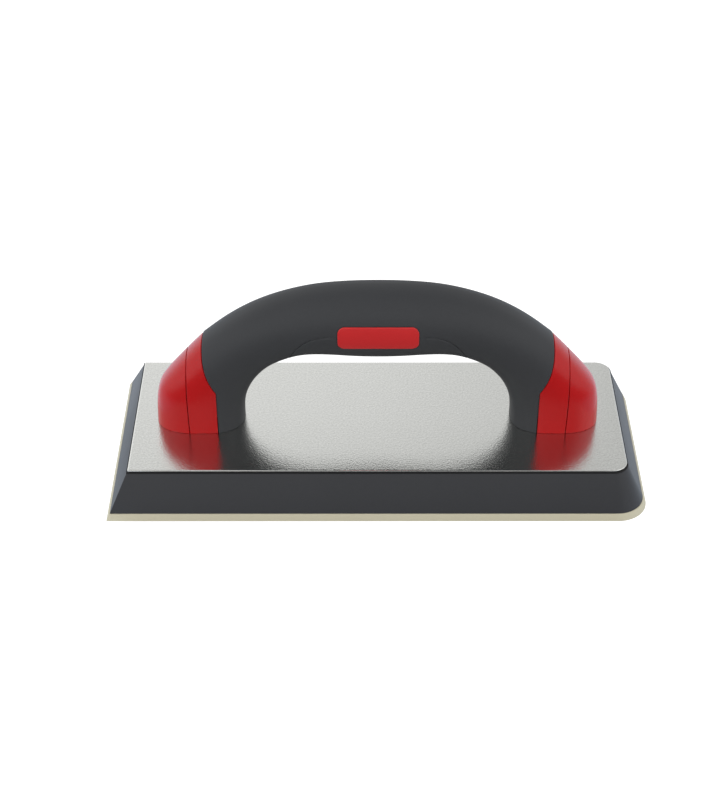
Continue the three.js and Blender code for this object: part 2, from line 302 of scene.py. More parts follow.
soft_grip = finish(
    "soft-touch grip",
    [(0.0365, 0.0378, 0.0405), (0.0418, 0.0436, 0.0471), (0.053, 0.0555, 0.061)],
    (0.46, 0.56), 1700, 0.015, edge=0.25, shader={"Specular IOR Level": 0.15},
)
red_plastic = finish(
    "red moulded plastic",
    [(0.37, 0.003, 0.004), (0.41, 0.004, 0.005), (0.48, 0.02, 0.02)],
    (0.22, 0.28), 1600, 0.004, edge=0.25, shader={"Specular IOR Level": 0.23},
)
badge_red = finish(
    "red badge plastic",
    [(0.495, 0.012, 0.014), (0.54, 0.0148, 0.0165), (0.61, 0.026, 0.026)],
    (0.32, 0.42), 1600, 0.006, edge=0.25, shader={"Specular IOR Level": 0.4},
)
core_nylon = finish(
    "core nylon",
    [(0.014, 0.014, 0.016), (0.02, 0.02, 0.023), (0.03, 0.03, 0.033)],
    (0.45, 0.6), 1200, 0.01,
)
zinc_steel = finish(
    "zinc plated steel",
    [(0.50, 0.50, 0.52), (0.62, 0.62, 0.63), (0.75, 0.75, 0.76)],
    (0.25, 0.4), 1500, 0.004, metal=1.0,
)
print("finishes:", [m.name for m in bpy.data.materials if m.use_nodes and m.users == 0])


# %% [markdown]
# ## Putting a mesh into the scene
# A finished piece is a plain mesh whose object sits at the origin. One function makes it, so
# that every piece gets its material, its smooth faces and its place in the frame the same way.

# %% From points to a piece
SHARP_ANGLE = math.radians(42)


def make_mesh(name, points, faces, material):
    """A mesh object from points in millimetres, with its faces turned outwards."""
    mesh = bpy.data.meshes.new(name)
    mesh.from_pydata((np.asarray(points) * MM).tolist(), [], faces)
    work = bmesh.new()
    work.from_mesh(mesh)
    bmesh.ops.remove_doubles(work, verts=work.verts, dist=0.002 * MM)
    bmesh.ops.recalc_face_normals(work, faces=work.faces)
    work.to_mesh(mesh)
    work.free()
    mesh.shade_smooth()
    mesh.set_sharp_from_angle(angle=SHARP_ANGLE)
    mesh.materials.append(material)
    return new_object(name, mesh)


def settle(piece, slot, *nodes):
    """The piece rides on the tool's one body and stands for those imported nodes."""
    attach(piece, "root")
    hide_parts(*nodes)
    loose = sum(1 for edge in edge_counts(piece.data).values() if edge != 2)
    print("%-22s %6d faces, %d open edges" % (piece.name, len(piece.data.polygons), loose))
    return piece


def edge_counts(mesh):
    """How many faces meet at each edge. A closed mesh has two at every edge."""
    counts = {}
    for polygon in mesh.polygons:
        for key in polygon.edge_keys:
            counts[key] = counts.get(key, 0) + 1
    return counts


# %% [markdown]
# ## The block
# The sole, the foam, the adhesive and the plate are four layers of one outline: square corners at
# one end and round ones at the other. Each layer could be a scaled box with a bevel modifier, but
# the round corners grow from 6.6 mm at the plate to 13.6 mm at the sole, which a scaled box can't
# do. So each layer is a stack of rings, one for each height where the outline changes, and a
# rounded edge is a few more rings close together.

# %% The outline of the block
ROUND_AT_SOLE, ROUND_AT_PLATE, SQUARE_CORNER = 13.6, 6.6, 0.4
ROUND_STEPS, SQUARE_STEPS = 20, 4
LEAST_CORNER = 0.3


def outline_ring(inset, corner, z):
    """One ring of the outline, drawn in by inset, with that radius at the round end."""
    x, y, square = HALF_LENGTH - inset, HALF_WIDTH - inset, SQUARE_CORNER
    corners = [(x - corner, -y + corner, corner, -90), (x - corner, y - corner, corner, 0)]
    corners += [(-x + square, y - square, square, 90), (-x + square, -y + square, square, 180)]
    points = []
    for centre_x, centre_y, radius, start in corners:
        steps = ROUND_STEPS if radius == corner else SQUARE_STEPS
        for step in range(steps + 1):
            angle = math.radians(start + 90 * step / steps)
            over, up = radius * math.cos(angle), radius * math.sin(angle)
            points.append((centre_x + over, centre_y + up, z))
    return points


def stack(name, levels, material):
    """A closed solid through rings given as rows of (z, inset, corner)."""
    rings = [outline_ring(inset, corner, z) for z, inset, corner in levels]
    count = len(rings[0])
    faces = []
    for low in range(len(rings) - 1):
        for i in range(count):
            j = (i + 1) % count
            a, b = low * count, (low + 1) * count
            faces.append([a + i, a + j, b + j, b + i])
    faces.append(list(range(count))[::-1])
    faces.append([(len(rings) - 1) * count + i for i in range(count)])
    return make_mesh(name, [p for ring in rings for p in ring], faces, material)


def corner_at(z):
    return ROUND_AT_SOLE + (ROUND_AT_PLATE - ROUND_AT_SOLE) * z / foam_high[2]


def slope_at(z):
    """How far the bevelled side has drawn in at that height."""
    return BEVEL_INSET * z / foam_high[2]


def rounded_levels(z0, z1, radius, flat, inset_at, round_at, steps=4):
    """Levels from z0 to z1 with both edges rounded, and one more ring flat inside each face."""
    rows = []
    for step in range(steps + 1):
        angle = math.radians(90 * step / steps)
        drop, draw = radius * (1 - math.sin(angle)), radius * (1 - math.cos(angle))
        rows.append((z0 + draw, inset_at(z0 + draw) + drop))
    bottom = [(z0, rows[0][1] + flat)] + rows
    top = [(z0 + z1 - z, inset_at(z0 + z1 - z) + inset - inset_at(z)) for z, inset in bottom][::-1]
    return [
        (z, inset, max(round_at(z) - (inset - inset_at(z)), LEAST_CORNER))
        for z, inset in bottom + top
    ]


# %% The sole and the foam
LEDGE = 0.15  # how far the sole stands out under the foam
SOLE_EDGE, FOAM_EDGE, BLOCK_FLAT = 0.3, 0.35, 0.6


def foam_slope_at(z):
    return slope_at(z) + LEDGE * (1 - z / foam_high[2])


sole = stack(
    "sole_sheet",
    rounded_levels(sole_low[2], sole_high[2], SOLE_EDGE, BLOCK_FLAT, slope_at, corner_at),
    gum_rubber,
)
foam = stack(
    "foam_block",
    rounded_levels(foam_low[2], foam_high[2], FOAM_EDGE, BLOCK_FLAT, foam_slope_at, corner_at),
    foam_rubber,
)

# %% The adhesive and the plate
PLATE_INSET = HALF_LENGTH - plate_high[0]
SHADOW_LINE_SPREAD = 0.15  # how far the dark adhesive spreads past its packed edge, as a painted shadow line round the plate
FILM_INSET = HALF_LENGTH - film_high[0] - SHADOW_LINE_SPREAD
FILM_EDGE, FILM_FLAT, PLATE_EDGE, PLATE_FLAT = 0.12, 0.5, 0.1, 0.6


def straight_levels(low, high, edge, flat, inset, steps):
    """Levels of a layer whose sides are upright and whose corners stay the same."""
    return rounded_levels(
        low[2], high[2], edge, flat, lambda z: inset, lambda z: ROUND_AT_PLATE, steps
    )


# The dark film stands out past the plate's edge as a painted shadow line between plate and foam.
film_levels = straight_levels(film_low, film_high, FILM_EDGE, FILM_FLAT, FILM_INSET, 4)
film = stack("adhesive_and_shadow_line", film_levels, adhesive)
plate_levels = straight_levels(plate_low, plate_high, PLATE_EDGE, PLATE_FLAT, PLATE_INSET, 1)
plate = stack("top_plate", plate_levels, plate_metal)
print("block layers:", [piece.name for piece in (sole, foam, film, plate)])

# %% [markdown]
# ## The handle's surface
# The arch is lofted over rungs, as a boat is over its frames. Each rung joins a point of the
# outer line to one of the inner line, and has a half width and a squareness. A smooth curve
# through the rungs gives every section in between, and each section is a superellipse. A point
# of the surface then needs two numbers only: t along the arch from foot to foot, and f round the
# section from the hand hole (0) over the user's side to the outside (pi).

# %% The rungs of the arch
RUNGS = [  # outer x and z, inner x and z, half width, squareness
    (-100.2, 15.0, -60.1, 15.0, 14.3, 2.6),
    (-99.9, 26.0, -60.2, 26.0, 14.3, 2.6),
    (-99.0, 36.2, -59.0, 35.0, 14.1, 2.6),
    (-96.1, 42.8, -56.2, 42.0, 14.0, 2.5),
    (-87.3, 53.5, -52.3, 47.9, 14.0, 2.4),
    (-77.3, 64.5, -46.6, 53.3, 14.1, 2.3),
    (-63.7, 75.2, -39.6, 57.0, 14.4, 2.3),
    (-48.5, 83.4, -31.0, 59.1, 14.7, 2.2),
    (-31.0, 88.8, -20.5, 58.8, 15.0, 2.2),
    (-15.0, 90.8, -10.0, 57.8, 15.2, 2.2),
    (0.0, 91.3, 0.0, 57.5, 15.2, 2.2),
]
SAMPLES_PER_RUNG = 60
SMOOTHING = 0.25  # in rungs

left = np.array(RUNGS)
right = left[:-1][::-1] * np.array([-1, 1, -1, 1, 1, 1])
rungs = np.vstack([left, right])


def through(rows, places):
    """A Catmull-Rom curve through the rows, read at places counted in rows."""
    last = len(rows) - 1
    low = np.clip(np.floor(places).astype(int), 0, last - 1)
    w = (places - low)[:, None]
    before, start = rows[np.maximum(low - 1, 0)], rows[low]
    end, after = rows[low + 1], rows[np.minimum(low + 2, last)]
    leave, arrive = (end - before) / 2, (after - start) / 2
    cubic = 2 * start - 2 * end + leave + arrive
    square = 3 * end - 3 * start - 2 * leave - arrive
    return cubic * w**3 + square * w**2 + leave * w + start


def smoothed(rows, reach):
    """The rows averaged over a bell curve, with straight run-outs past both ends."""
    half = int(3 * reach)
    bell = np.exp(-0.5 * (np.arange(-half, half + 1) / reach) ** 2)
    bell /= bell.sum()
    padded = np.pad(rows, ((half, half), (0, 0)), mode="reflect", reflect_type="odd")
    return np.stack([np.convolve(column, bell, "valid") for column in padded.T], axis=1)


dense_places = np.linspace(0, len(rungs) - 1, (len(rungs) - 1) * SAMPLES_PER_RUNG + 1)
arch_rows = smoothed(through(rungs, dense_places), SMOOTHING * SAMPLES_PER_RUNG)
arch_t = dense_places / dense_places[-1]


def skin(t, f):
    """Points of the handle's surface, in millimetres, for arrays t and f."""
    columns = [np.interp(t, arch_t, column) for column in arch_rows.T]
    outer_x, outer_z, inner_x, inner_z, half, square = columns
    reach_x, reach_z = (outer_x - inner_x) / 2, (outer_z - inner_z) / 2
    reach = np.hypot(reach_x, reach_z)
    c, s = -np.cos(f), np.sin(f)
    radius = ((np.abs(c) / reach) ** square + (np.abs(s) / half) ** square) ** (-1 / square)
    x = (outer_x + inner_x) / 2 + reach_x / reach * c * radius
    z = (outer_z + inner_z) / 2 + reach_z / reach * c * radius
    return np.stack([x, -s * radius, z], axis=-1)


STEP_ALONG, STEP_AROUND = 5e-4, 2e-3


def skin_normal(t, f):
    """Outward unit normals of the surface, from small steps both ways."""
    along = skin(t + STEP_ALONG, f) - skin(t - STEP_ALONG, f)
    around = skin(t, f + STEP_AROUND) - skin(t, f - STEP_AROUND)
    normal = np.cross(along, around)
    return normal / np.linalg.norm(normal, axis=-1, keepdims=True)


print("crown of the arch:", skin(np.array([0.5]), np.array([math.pi]))[0].round(1))

# %% [markdown]
# ## Seams
# The mouldings of the handle meet in seams that are drawn in the side view and run straight
# through the tool. A seam on the surface is where that drawing crosses it. The surface is read
# on a fine net of t and f, and the places where the drawing's sign changes between two knots are
# joined into one line. Boolean cuts could make the same split, but they leave ragged triangles
# along the cut, and the seams are just where the light catches.

# %% Drawings of the seams, in the side view
GRIP_END = [(-71.65, 43.0), (-74.6, 47.6), (-78.1, 55.0), (-77.8, 66.0)]
CAP_END = [(-84.55, DECK_Z), (-85.1, 42.0), (-85.0, 68.0)]
REST_LINE = [(-41.2, 52.0), (-38.4, 67.2), (-32.5, 74.3), (-22.0, 74.3)]
BADGE = {"half_length": 17.75, "half_height": 5.85, "radius": 3.4, "z": 74.0}


def bezier(points, steps=60):
    """Points along a Bezier curve of any degree."""
    w = np.linspace(0, 1, steps)[:, None]
    rows = [np.array(p, float) * np.ones((steps, 1)) for p in points]
    while len(rows) > 1:
        rows = [a * (1 - w) + b * w for a, b in zip(rows, rows[1:])]
    return rows[0]


grip_curve, cap_curve, rest_curve = bezier(GRIP_END), bezier(CAP_END), bezier(REST_LINE)


def grip_side(x, z):
    """Positive on the grip's side of its end seam."""
    return x - np.interp(z, grip_curve[:, 1], grip_curve[:, 0])


def cap_side(x, z):
    """Positive on the collar's side of the heel cap's seam."""
    return x - np.interp(z, cap_curve[:, 1], cap_curve[:, 0])


REST_START_SLOPE = 5.4  # how steeply the rest's line goes on past its start


def rest_side(x, z):
    """Positive inside the finger rest."""
    line = np.interp(x, rest_curve[:, 0], rest_curve[:, 1])
    before = np.minimum(x - rest_curve[0, 0], 0)
    return line + REST_START_SLOPE * before - z


def badge_side(x, z):
    """Distance outside the badge's rounded outline."""
    radius = BADGE["radius"]
    over_x = np.abs(x) - BADGE["half_length"] + radius
    over_z = np.abs(z - BADGE["z"]) - BADGE["half_height"] + radius
    outside = np.hypot(np.maximum(over_x, 0), np.maximum(over_z, 0))
    return outside + np.minimum(np.maximum(over_x, over_z), 0) - radius


# %% Where a drawing crosses the surface
NET_ALONG, NET_AROUND = 700, 560
net_t, net_f = np.meshgrid(
    np.linspace(0, 0.5, NET_ALONG), np.linspace(0, math.pi, NET_AROUND), indexing="ij"
)
net = skin(net_t, net_f)
ALONG, AROUND = 260.0, 16.0  # millimetres for a unit of t and of f, about
FLAT_SCALE = np.array([ALONG, AROUND])
JUST_ABOVE = 0.02  # how far the handle's foot stays off the plate


def length_along(rows):
    steps = np.linalg.norm(np.diff(skin(rows[:, 0], rows[:, 1]), axis=0), axis=1)
    return np.concatenate([[0], np.cumsum(steps)])


def evenly(rows, step):
    """The same line of (t, f) rows with points a step apart."""
    length = length_along(rows)
    count = max(int(round(length[-1] / step)), 2)
    places = np.linspace(0, length[-1], count + 1)
    return np.stack([np.interp(places, length, column) for column in rows.T], axis=1)


SEAM_STEP = 0.6


def crossing(side, key, keep=None, step=SEAM_STEP):
    """The line where side(x, z) changes sign on a quarter of the handle, in the order of key."""
    value = side(net[..., 0], net[..., 2])
    rows = []
    for axis in (0, 1):
        first = value[:-1] if axis == 0 else value[:, :-1]
        second = value[1:] if axis == 0 else value[:, 1:]
        i, j = np.nonzero((first > 0) != (second > 0))
        w = first[i, j] / (first[i, j] - second[i, j])
        k, m = (i + 1, j) if axis == 0 else (i, j + 1)
        t = net_t[i, j] + w * (net_t[k, m] - net_t[i, j])
        f = net_f[i, j] + w * (net_f[k, m] - net_f[i, j])
        rows.append(np.stack([t, f], axis=1))
    rows = np.vstack(rows)
    if keep is not None:
        rows = rows[keep(rows)]
    rows = rows[np.argsort(key(rows))]
    return evenly(rows, step)


def rising(rows):
    return rows[:, 0] * ALONG + rows[:, 1] * AROUND


def above_deck(rows):
    return skin(rows[:, 0], rows[:, 1])[:, 2] > DECK_Z + JUST_ABOVE


foot_line = crossing(lambda x, z: z - DECK_Z - JUST_ABOVE, lambda rows: rows[:, 1], step=0.25)
print("foot line:", len(foot_line), "points")


# %% [markdown]
# ## A patch of the handle
# Each moulding is a patch of that surface, bounded by seams. A quarter of it is enough, because
# the handle is the same left and right and front and back. The patch's outline and a grid of
# inner points are joined into triangles, and the edge along a seam is rounded over: each point
# near a seam sinks by the depth of a quarter circle. A second skin under the first, joined along
# the edges, makes the moulding a closed shell with a real thickness.

# %% Patch helpers
GRID = 1.25
LIP_ROWS = (0.1, 0.3, 0.6, 1.0, 1.5)  # where the rows beside a seam lie, in lip radii
SHELL = 2.9
FIRST_GAP, GAP_GROWTH, LEAST_GAP = 0.06, 1.5, 0.012
GRID_CLEARANCE = 0.55 * GRID  # from the outline to the first inner points
LIP_CLEARANCE = 1.9  # from a seam to the first grid points, in lip radii
ROW_CLEARANCE = 0.02  # from the outline to the rows beside a seam
PLANE_GAP = 0.03  # from a plane of symmetry to those rows


def on_foot(f):
    return np.interp(f, foot_line[:, 1], foot_line[:, 0])


def graded(start, end):
    """Rows from start to end, fine at both ends and a grid step apart in the middle."""
    start, end = np.array(start, float), np.array(end, float)
    length = np.linalg.norm((end - start) * FLAT_SCALE)
    places, place, gap = [0.0], 0.0, FIRST_GAP
    while place + gap < length / 2:
        place += gap
        places.append(place)
        gap = min(gap * GAP_GROWTH, GRID)
    places = np.array(places)
    both = np.concatenate([places, length - places[::-1]]) / length
    return start + (end - start) * both[:, None]


def along_foot(f0, f1):
    rows = graded((0, f0), (0, f1))
    return np.stack([on_foot(rows[:, 1]), rows[:, 1]], axis=1)


def inside(points, outline):
    """Which points lie inside a closed outline, by counting crossings."""
    x, y = points[:, 0:1], points[:, 1:2]
    ax, ay = outline[:, 0], outline[:, 1]
    bx, by = np.roll(ax, -1), np.roll(ay, -1)
    spans = (ay > y) != (by > y)
    slope = (bx - ax) / np.where(by == ay, 1e-9, by - ay)
    return (np.sum(spans & (x < ax + (y - ay) * slope), axis=1) % 2) == 1


def search_tree(points):
    """A tree that finds the nearest of these points. Flat points get a height of zero."""
    tree = kdtree.KDTree(len(points))
    for i, p in enumerate(points):
        tree.insert((*p, 0.0) if len(p) == 2 else p, i)
    tree.balance()
    return tree


def nearest(points, lines):
    """Distance from each point to the nearest point of the lines."""
    tree = search_tree(lines)
    return np.array([tree.find((*p, 0.0) if len(p) == 2 else p)[2] for p in points])


def clean(rows):
    """The outline without points that repeat the one before."""
    flat = rows * FLAT_SCALE
    gap = np.linalg.norm(flat - np.roll(flat, 1, axis=0), axis=1)
    return rows[gap > LEAST_GAP]


def off_planes(flat):
    """Which points keep clear of the planes of symmetry."""
    x, y = flat.T
    return (x < 0.5 * ALONG - PLANE_GAP) & (y > PLANE_GAP) & (y < math.pi * AROUND - PLANE_GAP)


# %% Triangles over a patch
def patch_triangles(outline, lips):
    """(t, f) rows and triangles inside the outline. lips are rows of (line, radius)."""
    flat_outline = clean(outline) * FLAT_SCALE
    low, high = flat_outline.min(0), flat_outline.max(0)
    grid_x, grid_y = np.meshgrid(
        np.arange(low[0], high[0], GRID), np.arange(low[1], high[1], GRID), indexing="ij"
    )
    grid_x = grid_x + (np.arange(grid_y.shape[1]) % 2) * GRID / 2
    inner = np.stack([grid_x.ravel(), grid_y.ravel()], axis=1)
    inner = inner[inside(inner, flat_outline)]
    inner = inner[nearest(inner, flat_outline) > GRID_CLEARANCE]
    for line, radius in lips:
        flat = line * FLAT_SCALE
        ahead = np.gradient(flat, axis=0)
        side = np.stack([-ahead[:, 1], ahead[:, 0]], axis=1)
        side /= np.linalg.norm(side, axis=1, keepdims=True)
        reach = np.broadcast_to(radius, len(line))[:, None]
        keep = nearest(inner, flat) > LIP_CLEARANCE * np.max(radius)
        rows = [flat + sign * side * reach * share for share in LIP_ROWS for sign in (-1, 1)]
        rows = np.vstack(rows)
        rows = rows[inside(rows, flat_outline)]
        rows = rows[off_planes(rows)]
        rows = rows[nearest(rows, flat_outline) > ROW_CLEARANCE]
        inner = np.vstack([inner[keep], rows])
    points = np.vstack([flat_outline, inner])
    loop = [list(range(len(flat_outline)))]
    made = delaunay_2d_cdt([Vector(p) for p in points], [], loop, 1, 1e-4, False)
    rows = np.array([tuple(p) for p in made[0]]) / FLAT_SCALE
    return rows, [list(face) for face in made[2]]


def snapped(rows):
    """The rows with those that lie on a plane of symmetry put exactly on it."""
    t, f = rows.T.copy()
    t[np.abs(t - 0.5) < 1e-5] = 0.5
    f[np.abs(f) < 1e-4] = 0.0
    f[np.abs(f - math.pi) < 1e-4] = math.pi
    return np.stack([t, f], axis=1)


def lip_depth(points, lips):
    """How far each point sinks, so that the edges along the lips are rounded over."""
    depth = np.zeros(len(points))
    for line, radius in lips:
        tree = search_tree(skin(line[:, 0], line[:, 1]))
        found = [tree.find(p) for p in points]
        distance = np.array([hit[2] for hit in found])
        r = np.broadcast_to(radius, len(line))[[hit[1] for hit in found]]
        short = np.clip(r - distance, 0, r)
        depth = np.maximum(depth, r - np.sqrt(np.maximum(r**2 - short**2, 0)))
    return depth


# %% From a quarter to a whole moulding
def moulding(name, outline, lips, copies, material, lift=0.0, shell=SHELL, shape=None):
    """A closed shell over the patch and its mirror copies, given as (sign of x, sign of y)."""
    rows, faces = patch_triangles(outline, lips)
    t, f = snapped(rows).T
    base, normal = skin(t, f), skin_normal(t, f)
    proud = lift - lip_depth(base, lips)
    if shape is not None:
        proud = proud + shape(base)
    top = base + normal * proud[:, None]
    under = base - normal * shell
    under[:, 2] = np.maximum(under[:, 2], DECK_Z + JUST_ABOVE)
    count = len(rows)
    edges = {(a, b): True for face in faces for a, b in zip(face, face[1:] + face[:1])}
    # An edge between two points of one plane of symmetry joins a mirror copy and gets no wall.
    flat = (np.abs(base[:, 1]) < 1e-6) * 1 + (np.abs(base[:, 0]) < 1e-6) * 2
    walls = [
        [a, b, b + count, a + count]
        for a, b in edges
        if (b, a) not in edges and not (flat[a] & flat[b])
    ]
    solid = faces + [[v + count for v in face[::-1]] for face in faces] + walls
    both = np.vstack([top, under])
    points, all_faces = [], []
    for copy_x, copy_y in copies:
        start = len(points) * len(both)
        points.append(both * np.array([copy_x, copy_y, 1]))
        turned = copy_x * copy_y < 0
        all_faces += [[v + start for v in (face[::-1] if turned else face)] for face in solid]
    return make_mesh(name, np.vstack(points), all_faces, material)


# %% [markdown]
# ## Heel caps and collars
# The heel cap closes the outside of each leg, and the collar is the red band between it and the
# grip. Both stand a little lower than the grip, which is moulded over them and rolls down to
# them at its edge. The right-hand ones are mirror copies, made by the same function.

# %% Heel caps and collars
SEAM = 0.15  # half the open width of a seam
LIP, FOOT_LIP, THIN_LIP, GRIP_LIP = 0.3, 0.22, 0.25, 0.6  # radii of the rounded edges
SUNK = -0.1  # how high caps and collars stand against the grip


def seam_line(side, shift):
    """A seam that rises from the foot, moved by shift along X."""
    rows = crossing(lambda x, z: side(x - shift, z), rising, above_deck)
    start = np.array([[on_foot(rows[0, 1]), rows[0, 1]]])
    return evenly(np.vstack([start, rows]), SEAM_STEP)


cap_edge = seam_line(cap_side, -SEAM)
collar_low_edge = seam_line(cap_side, SEAM)
collar_high_edge = seam_line(grip_side, -SEAM)
grip_edge = seam_line(grip_side, SEAM)


def cap_outline():
    foot = along_foot(math.pi, cap_edge[0, 1])
    back = graded(cap_edge[-1], (on_foot(math.pi), math.pi))
    return np.vstack([foot, cap_edge, back]), [(cap_edge, LIP), (foot, FOOT_LIP)]


def collar_outline():
    foot = along_foot(collar_low_edge[0, 1], collar_high_edge[0, 1])
    crest = graded(collar_high_edge[-1], collar_low_edge[-1])
    outline = np.vstack([foot, collar_high_edge, crest, collar_low_edge[::-1]])
    return outline, [(collar_high_edge, THIN_LIP), (collar_low_edge, LIP), (foot, FOOT_LIP)]


LEFT, RIGHT = [(1, 1), (1, -1)], [(-1, 1), (-1, -1)]
for side_name, copies in (("left", LEFT), ("right", RIGHT)):
    outline, lips = cap_outline()
    cap = moulding("heel_cover_" + side_name, outline, lips, copies, red_plastic, lift=SUNK)
    settle(cap, "red_plastic", "heel_cap_" + side_name)
    outline, lips = collar_outline()
    band = moulding("collar_band_" + side_name, outline, lips, copies, red_plastic, lift=SUNK)
    settle(band, "red_plastic", "collar_" + side_name)

# %% [markdown]
# ## The grip, the finger rest and the badges
# The grip is one soft moulding from leg to leg. Under its middle sits the finger rest, a lens of
# the same material inside a fine groove that dies out just before the badge. The badge is a
# plain red lozenge in a window of the grip.

# %% Lines in the middle of the handle
REST_LIP, LEAST_LIP = 0.4, 0.02
REST_SEAM = 0.34
BADGE_SEAM = 0.1
BADGE_LIP = 0.35
FADE_FROM, FADE_TO = -20.9, -20.2  # where the rest's groove dies out
WIDEN_FROM, WIDEN_TO = -36, -26  # the groove opens from half its width to all of it


def around_badge(rows):
    place = skin(rows[:, 0], rows[:, 1])
    return np.arctan2(-(place[:, 0] - 1e-6), place[:, 2] - BADGE["z"])


def on_user_side(rows):
    return (rows[:, 1] > 0.4) & (rows[:, 1] < 2.6)


def badge_line(grow):
    """Half of the badge's outline, from its top round its end to its bottom."""
    return crossing(lambda x, z: badge_side(x, z) - grow, around_badge, on_user_side)


def outside_badge(rows):
    place = skin(rows[:, 0], rows[:, 1])
    return badge_side(place[:, 0], place[:, 2]) > BADGE_SEAM


def rest_line(grow):
    """The finger rest's line, from the hand hole to the badge."""
    def faded(x, z):
        share = np.clip((FADE_TO - x) / (FADE_TO - FADE_FROM), 0.1, 1)
        widening = np.interp(x, (WIDEN_FROM, WIDEN_TO), (0.5, 1))
        return rest_side(x, z) + grow * share * widening

    return crossing(faded, rising, outside_badge)


window = badge_line(BADGE_SEAM)
rest_in, rest_out = rest_line(-REST_SEAM), rest_line(REST_SEAM)


def split_window(line):
    """The badge window above and below the place where the rest's line meets it."""
    gap = np.linalg.norm((window - line[-1]) * FLAT_SCALE, axis=1)
    cut = int(np.argmin(gap))
    return window[:cut], window[cut + 1:]


def fading_lip(line):
    place = skin(line[:, 0], line[:, 1])[:, 0]
    share = np.clip((FADE_TO - place) / (FADE_TO - FADE_FROM), 0, 1)
    return LEAST_LIP + (REST_LIP - LEAST_LIP) * share


print("window %d, rest line %d points" % (len(window), len(rest_in)))


# %% The grip
def grip_outline():
    foot = along_foot(0, grip_edge[0, 1])
    crest = graded(grip_edge[-1], (0.5, math.pi))
    above = graded((0.5, math.pi), window[0])
    hole = graded(rest_out[0], (on_foot(0), 0))
    upper = split_window(rest_out)[0]
    outline = np.vstack([foot, grip_edge, crest, above, upper, rest_out[::-1], hole])
    lips = [(grip_edge, GRIP_LIP), (foot, FOOT_LIP)]
    lips += [(rest_out, fading_lip(rest_out)), (upper, THIN_LIP)]
    return outline, lips


ROLL_REACH, ROLL_HEIGHT = 3.5, 0.12


def rolled_end(points):
    """The grip swells slightly just before its end seam."""
    place = nearest(points, skin(grip_edge[:, 0], grip_edge[:, 1]))
    return ROLL_HEIGHT * np.exp(-((place / ROLL_REACH) ** 2))


ALL = LEFT + RIGHT
outline, lips = grip_outline()
grip = moulding("grip_moulding", outline, lips, ALL, soft_grip, shape=rolled_end)
settle(grip, "grip_rubber", "grip_sleeve")


# %% The finger rest
def rest_outline():
    middle = graded(rest_in[0], (0.5, 0))
    lower = split_window(rest_in)[1]
    up = graded((0.5, 0), window[-1])
    outline = np.vstack([middle, up, lower[::-1], rest_in[::-1]])
    return outline, [(rest_in, fading_lip(rest_in)), (lower, THIN_LIP)]


outline, lips = rest_outline()
rest = moulding("finger_rest_moulding", outline, lips, ALL, soft_grip)
settle(rest, "grip_rubber", "finger_rest")


# %% The badges
BADGE_PROUD, BADGE_THICKNESS = 0.12, 1.9
badge_edge = badge_line(-BADGE_SEAM)
spine = graded(badge_edge[-1], badge_edge[0])
outline = np.vstack([badge_edge, spine])
for badge_name, depth_sign in (("front", 1), ("back", -1)):
    copies = [(1, depth_sign), (-1, depth_sign)]
    lozenge = moulding(
        "badge_lozenge_" + badge_name, outline, [(badge_edge, BADGE_LIP)], copies, badge_red,
        lift=BADGE_PROUD, shell=BADGE_THICKNESS,
    )
    settle(lozenge, "red_plastic", "badge_" + badge_name)

# %% [markdown]
# ## Fasteners
# Two tapping screws hold each foot from below, with their heads and washers sunk in pockets of
# the foam. All of them are alike, so one screw and one washer are made, and a Geometry Nodes tree
# sets them at the four places. The same tree sets the pegs that cut the holes. Copying objects in
# a loop would also do, but in the tree the spacing stays two numbers that can still be changed.

# %% One screw, one washer and one peg
screw_low, screw_high = extent("foot_screw_1")
washer_low, washer_high = extent("screw_washer_1")
SCREW_HEAD = (screw_high[0] - screw_low[0]) / 2
SHANK, ROOT, PITCH = 2.0, 1.5, 1.8
THREAD_START, THREAD_END = DECK_Z + 0.5, screw_high[2] - 2.5
THREAD_STEEPNESS = 3.2
HEAD_SHAPE = [  # shares of the head's radius and height, from its middle to its rim
    (0.0, 0.0), (0.45, 0.0), (0.7, 0.06), (0.88, 0.2), (0.98, 0.5), (1.0, 0.8), (0.97, 1.0),
]


def turned(profile, sides, threaded=None):
    """Points and faces of a profile of (radius, height) turned about Z."""
    points, faces = [], []
    for radius, height in profile:
        for side in range(sides):
            angle = 2 * math.pi * side / sides
            r = threaded(radius, height, angle) if threaded else radius
            points.append((r * math.cos(angle), r * math.sin(angle), height))
    for level in range(len(profile) - 1):
        for side in range(sides):
            a, b = level * sides + side, level * sides + (side + 1) % sides
            faces.append([a, b, b + sides, a + sides])
    return points, faces


def thread(radius, height, angle):
    """A helical ridge between the root and the shank's full radius."""
    if not THREAD_START < height < THREAD_END:
        return radius
    turn_share = (height / PITCH - angle / (2 * math.pi)) % 1
    return ROOT + (SHANK - ROOT) * max(0.0, 1 - abs(turn_share - 0.5) * THREAD_STEEPNESS)


head_top = washer_low[2]
head_height = head_top - screw_low[2]
screw_profile = [(r * SCREW_HEAD + 0.01, screw_low[2] + h * head_height) for r, h in HEAD_SHAPE]
screw_profile += [(SHANK, head_top), (SHANK, DECK_Z)]
screw_profile += [(ROOT, z) for z in np.arange(THREAD_START, THREAD_END, PITCH / 8)]
screw_profile += [(ROOT * 0.9, screw_high[2] - 2.2), (0.02, screw_high[2])]
SCREW_SIDES, HOLE_SIDES = 24, 32
points, faces = turned(screw_profile, SCREW_SIDES, thread)
faces += [list(range(SCREW_SIDES)), list(range(len(points) - SCREW_SIDES, len(points)))]
screw_stamp = make_mesh("screw_stamp", points, faces, zinc_steel)
WASHER_HOLE, WASHER_RIM, CHAMFER = 2.4, 5.0, 0.1
below, above = washer_low[2], washer_high[2]
washer_ring = [(WASHER_HOLE, below + CHAMFER), (WASHER_HOLE + CHAMFER, below)]
washer_ring += [(WASHER_RIM - CHAMFER, below), (WASHER_RIM, below + CHAMFER)]
washer_ring += [(WASHER_RIM, above - CHAMFER), (WASHER_RIM - CHAMFER, above)]
washer_ring += [(WASHER_HOLE + CHAMFER, above), (WASHER_HOLE, above - CHAMFER)]
